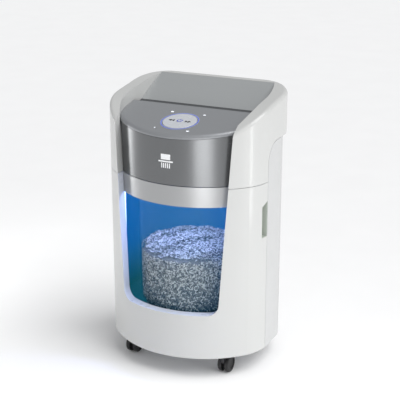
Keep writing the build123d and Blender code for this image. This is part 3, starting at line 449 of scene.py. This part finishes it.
NODE_MATERIALS = {
    "gloss_shell": ["left_wing", "right_wing", "head_rear_cover", "drawer_front_shell"],
    "matte_cabinet": ["rear_cabinet_shell"],
    "panel_silver": ["front_panel"],
    "band_silver": ["silver_band"],
    "deck_grey": ["control_deck"],
    "trough_dark": ["feed_slot_trough"],
    "slope_grey": ["rear_slope_panel"],
    "ring_blue": ["light_ring"],
    "lens_grey": ["indicator_lenses"],
    "control_white": ["control_disc", "power_button"],
    "white_print_painted_glow": ["front_badge"],
    "window_clear": ["window_pane"],
    "bin_clear": ["shred_bin"],
    "chamber_wall_painted_glow": ["chamber_liner", "drawer_tray"],
    "light_strip": ["window_light_strips", "chamber_light_bar"],
    "grip_green": ["grip_liners"],
    "black_plastic": ["power_inlet", "power_rocker", "door_interlock_switch", "stripper_combs",
                      "bin_gearmotor", "caster_sockets"],
    "chassis_grey": ["head_chassis", "gearbox_cover", "turntable"],
    "nylon": ["turntable_bearing", "turntable_gear", "bin_pinion"],
    "tool_steel": ["front_cutter", "front_cutter_gear", "rear_cutter", "rear_cutter_gear",
                   "reduction_gear", "motor_shaft"],
    "zinc_plate": ["base_plate", "cutter_side_plates", "cutter_tie_rods", "cabinet_rails",
                   "slide_middle_members", "drawer_runners", "case_screws"],
    "motor_paint": ["motor_housing"],
    "bronze": ["cutter_bearings"],
    "can_aluminium": ["run_capacitor"],
    "circuit_green": ["panel_board", "control_board"],
}


def finish_nodes():
    """Give every carried-over CAD node its material."""
    finishes = {node: name for name, nodes in NODE_MATERIALS.items() for node in nodes}
    for name, node in NODES.items():
        if name.startswith("caster_fork"):
            finishes[name] = "black_plastic"
        if name.startswith("caster_wheels"):
            finishes[name] = "wheel_black"
        node.data.materials.clear()
        node.data.materials.append(MATERIALS[finishes[name]])


def paint_glow_on_reveal():
    """The inner sides and the sill of the window opening take the material with the chamber's light painted
    on.
    """
    mesh = NODES["drawer_front_shell"].data
    mesh.materials.append(MATERIALS["reveal_painted_glow"])
    jamb_x = 0.09
    sill_rise = 0.05
    margin = 0.002
    for face in mesh.polygons:
        middle = face.center
        inside = abs(middle.x) < PANE_HIGH.x and middle.y < PANE_HIGH.y - margin
        towards_middle = middle.x * face.normal.x < 0 and abs(face.normal.x) > 0.6
        jamb = towards_middle and abs(middle.x) > jamb_x and PANE_LOW.z < middle.z
        sill = face.normal.z > 0.2 and middle.z < PANE_LOW.z + sill_rise
        if inside and (jamb or sill):
            face.material_index = 1


def mask_pane_edge():
    """The pane's top edge, behind the silver band, is painted black against stray light."""
    mesh = NODES["window_pane"].data
    mesh.materials.append(MATERIALS["black_plastic"])
    for face in mesh.polygons:
        if face.normal.z > 0.9:
            face.material_index = 1


# ---------------------------------------------------------------- small meshes
def new_piece(name, points, faces, material, body):
    """Mesh object that moves with a body."""
    mesh = bpy.data.meshes.new(name)
    mesh.from_pydata([tuple(point) for point in points], [], faces)
    mesh.materials.append(MATERIALS[material])
    mesh.update()
    piece = bpy.data.objects.new(name, mesh)
    bpy.context.scene.collection.objects.link(piece)
    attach(piece, body)
    return piece


def on_deck(across, up, height):
    """Point on the sloping deck, in millimetres from the middle of the control panel."""
    return PANEL_ORIGIN + (ACROSS * across + UP_SLOPE * up + DECK_NORMAL * height) * MM


class Relief:
    """Thin raised shapes on the deck, gathered into one mesh."""

    def __init__(self, base, thickness):
        self.base = base
        self.top = base + thickness
        self.points = []
        self.faces = []

    def polygon(self, outline):
        """Prism over a convex outline of (across, up) points, anticlockwise."""
        start = len(self.points)
        count = len(outline)
        self.points += [on_deck(x, v, self.base) for x, v in outline]
        self.points += [on_deck(x, v, self.top) for x, v in outline]
        self.faces.append([start + i for i in reversed(range(count))])
        self.faces.append([start + count + i for i in range(count)])
        for i in range(count):
            j = (i + 1) % count
            self.faces.append([start + i, start + j, start + count + j, start + count + i])

    def box(self, x0, x1, v0, v1):
        self.polygon([(x0, v0), (x1, v0), (x1, v1), (x0, v1)])

    def triangle(self, tip_x, base_x, half, v=0.0):
        corners = [(tip_x, v), (base_x, v + half), (base_x, v - half)]
        if base_x > tip_x:
            corners.reverse()
        self.polygon(corners)

    def arc(self, x, v, inner, outer, start, end, steps=28):
        for i in range(steps):
            a = math.radians(start + (end - start) * i / steps)
            b = math.radians(start + (end - start) * (i + 1) / steps)
            self.polygon([(x + inner * math.cos(a), v + inner * math.sin(a)),
                          (x + outer * math.cos(a), v + outer * math.sin(a)),
                          (x + outer * math.cos(b), v + outer * math.sin(b)),
                          (x + inner * math.cos(b), v + inner * math.sin(b))])

    def make(self, name, material, body):
        return new_piece(name, self.points, self.faces, material, body)


def control_marks():
    """Reverse and forward arrows on the disc, and the power symbol on its button."""
    arrows = Relief(DISC_TOP - PRINT_BASE, PRINT)
    arrow_length = 7.5
    arrow_half = 5.0
    for side in (-1, 1):
        for tip in (27.0, 20.0):
            arrows.triangle(side * tip, side * (tip - arrow_length), arrow_half)
    arrows.make("disc_arrows", "dark_print", "control_disc")
    power = Relief(BUTTON_TOP - PRINT_BASE, PRINT)
    inner, outer = 4.3, 6.5
    gap = 35
    stroke = 1.0
    power.arc(0.0, 0.0, inner, outer, 90 + gap, 450 - gap)
    power.box(-stroke, stroke, 1.4, 6.9)
    power.make("power_symbol", "blue_print", "power_button")


def indicator_icons():
    """Four lit pictograms round the panel: door, paper jam, heat and full bin."""
    icons = Relief(LENS_TOP - PRINT_BASE, PRINT)
    door_x, door_v = -LENS_X, LENS_V
    icons.box(door_x - 3.2, door_x + 0.8, door_v - 2.4, door_v + 2.4)
    icons.polygon([(door_x + 1.4, door_v - 2.4), (door_x + 3.6, door_v - 1.6),
                   (door_x + 3.6, door_v + 1.6), (door_x + 1.4, door_v + 2.4)])
    jam_x, jam_v = LENS_X, LENS_V
    icons.box(jam_x - 3.6, jam_x + 3.6, jam_v - 0.5, jam_v + 0.5)
    icons.box(jam_x - 2.2, jam_x + 2.2, jam_v + 1.0, jam_v + 2.6)
    for i in (-1, 0, 1):
        icons.box(jam_x + i * 1.7 - 0.4, jam_x + i * 1.7 + 0.4, jam_v - 2.5, jam_v - 1.0)
    heat_x, heat_v = -LENS_X, -LENS_V
    icons.arc(heat_x, heat_v - 1.2, 0.0, 1.5, 0, 360, 16)
    icons.box(heat_x - 0.6, heat_x + 0.6, heat_v, heat_v + 2.7)
    full_x, full_v = LENS_X, -LENS_V
    icons.polygon([(full_x - 2.2, full_v - 2.5), (full_x + 2.2, full_v - 2.5),
                   (full_x + 3.0, full_v + 0.9), (full_x - 3.0, full_v + 0.9)])
    icons.box(full_x - 3.6, full_x + 3.6, full_v + 1.5, full_v + 2.4)
    icons.make("indicator_icons", "icon_light", "cabinet")


# ---------------------------------------------------------------- shredded paper
def heap_height(x, y):
    """Height of the heap's surface: higher in the middle, with soft lumps."""
    part = min(1.0, math.hypot(x, y) / FILL_RADIUS)
    lumps = 0.005 * math.sin(61 * x + 1.3) * math.cos(53 * y) + 0.0025 * math.sin(140 * x - 90 * y)
    return FILL_EDGE + (FILL_MIDDLE - FILL_EDGE) * (1 - part ** 1.6) + lumps


def fill_radius(z):
    """The heap follows the bin's inside, with its rounded foot and its slight flare."""
    rise = z - FILL_BOTTOM
    radius = FILL_RADIUS - WALL_CLEARANCE
    if rise < FOOT_ROUNDING:
        return radius - FOOT_ROUNDING * (1 - math.sqrt(1 - (1 - rise / FOOT_ROUNDING) ** 2))
    return radius + BIN_FLARE * min(1.0, rise / FLARE_RISE)


def paper_heap():
    """The body of the heap under its loose top layer."""
    turns = 96
    levels = [0.0, 0.004, 0.012, 0.05, 0.08, 0.105]
    under_shreds = 0.0034
    shoulder = 0.007
    sink = 0.001
    points = [Vector((0, 0, FILL_BOTTOM))]
    faces = []
    for level in levels:
        z = FILL_BOTTOM + level
        for i in range(turns):
            a = 2 * math.pi * i / turns
            r = fill_radius(z) - under_shreds
            points.append(Vector((r * math.cos(a), r * math.sin(a), z)))
    rings = 12
    for ring in range(rings):
        part = 1 - ring / rings
        for i in range(turns):
            a = 2 * math.pi * i / turns
            r = (FILL_RADIUS - shoulder) * part
            x, y = r * math.cos(a), r * math.sin(a)
            points.append(Vector((x, y, heap_height(x, y) - sink)))
    points.append(Vector((0, 0, heap_height(0, 0) - sink)))
    bands = len(levels) + rings - 1
    for band in range(bands):
        for i in range(turns):
            j = (i + 1) % turns
            a = 1 + band * turns
            faces.append([a + i, a + j, a + turns + j, a + turns + i])
    last = 1 + bands * turns
    for i in range(turns):
        j = (i + 1) % turns
        faces.append([0, 1 + j, 1 + i])
        faces.append([last + i, last + j, len(points) - 1])
    heap = new_piece("paper_heap", points, faces, "paper_grey", "turntable")
    for face in heap.data.polygons:
        face.use_smooth = True


def curled_strip(place, along, out, length, width, curl):
    """Corners and faces of one shred that lies along a surface and curls off it."""
    side = along.cross(out).normalized() * width / 2
    points = []
    segments = 3
    for i in range(segments + 1):
        part = i / segments - 0.5
        centre = place + along * length * part + out * curl * (4 * part * part)
        points += [centre - side, centre + side]
    faces = [[2 * i, 2 * i + 1, 2 * i + 3, 2 * i + 2] for i in range(segments)]
    return points, faces


def paper_shreds():
    """Thousands of micro-cut shreds on the heap's top and against the wall of the bin."""
    dice = random.Random(7)
    points, faces, tones = [], [], []

    def add(place, along, out, dark_share):
        start = len(points)
        length = dice.uniform(*SHRED_LENGTH)
        strip, quads = curled_strip(place, along, out, length, SHRED_WIDTH, dice.uniform(0.0, SHRED_CURL))
        points.extend(strip)
        faces.extend([[start + k for k in quad] for quad in quads])
        weights = (1 - GREY_SHARE - dark_share, GREY_SHARE, dark_share)
        tone = dice.choices((0, 1, 2), weights=weights)[0]
        tones.extend([tone] * len(quads))

    for _ in range(SHRED_COUNT):
        a = dice.uniform(0, 2 * math.pi)
        z = dice.uniform(FILL_BOTTOM + SIDE_RISE, FILL_EDGE + SIDE_RISE)
        r = fill_radius(z) - dice.uniform(*SIDE_DEPTH)
        out = Vector((math.cos(a), math.sin(a), 0))
        tilt = dice.uniform(0, math.pi)
        along = Vector((-math.sin(a), math.cos(a), 0)) * math.cos(tilt) + Vector((0, 0, 1)) * math.sin(tilt)
        z_room = max(FILL_BOTTOM + FOOT_MARGIN, z)
        depth = (FILL_EDGE - z) / (FILL_EDGE - FILL_BOTTOM)
        dark_share = DARK_SHARE_SIDE + DARK_SHARE_FOOT * max(0.0, depth) ** 1.5
        add(Vector((r * math.cos(a), r * math.sin(a), z_room)), along, -out, dark_share)
    for _ in range(SHRED_COUNT):
        a = dice.uniform(0, 2 * math.pi)
        r = (FILL_RADIUS - TOP_MARGIN) * math.sqrt(dice.random())
        x, y = r * math.cos(a), r * math.sin(a)
        out = Vector((dice.uniform(-0.5, 0.5), dice.uniform(-0.5, 0.5), 1)).normalized()
        turn = dice.uniform(0, 2 * math.pi)
        level = Vector((math.cos(turn), math.sin(turn), 0))
        along = (level - out * level.dot(out)).normalized()
        z = heap_height(x, y) + dice.uniform(0.0, TOP_RISE)
        add(Vector((x, y, z)), along, out, DARK_SHARE_TOP)
    shreds = new_piece("paper_shreds", points, faces, "paper_white", "turntable")
    shreds.data.materials.append(MATERIALS["paper_grey"])
    shreds.data.materials.append(MATERIALS["paper_dark"])
    shreds.data.polygons.foreach_set("material_index", tones)


# ---------------------------------------------------------------- put together
make_camera()
make_world()
finish_nodes()
paint_glow_on_reveal()
mask_pane_edge()
make_floor()
sky_light("key_sky", azimuth=85, elevation=58, spread=50, power=2.25)
strip_light("strip_right", azimuth=80, distance=1.0, bottom=0.08, top=0.6, width=0.14, power=1.2)
strip_light("strip_front", azimuth=24, distance=1.3, bottom=0.02, top=0.5, width=0.50, power=2.6)
strip_light("strip_left", azimuth=-87, distance=1.1, bottom=0.02, top=0.6, width=0.22, power=2.0)
chamber_lamp("chamber_top", location=Vector((0, BAR_LOW.y + 0.01, BAR_LOW.z - 0.002)),
             target=Vector((0, BIN_MIDDLE_Y + 0.02, TRAY_TOP)),
             width=0.17, height=0.03, power=0.8, colour=(0.40, 0.50, 1.0))
control_marks()
indicator_icons()
paper_heap()
paper_shreds()

bpy.context.scene.view_settings.view_transform = "Standard"
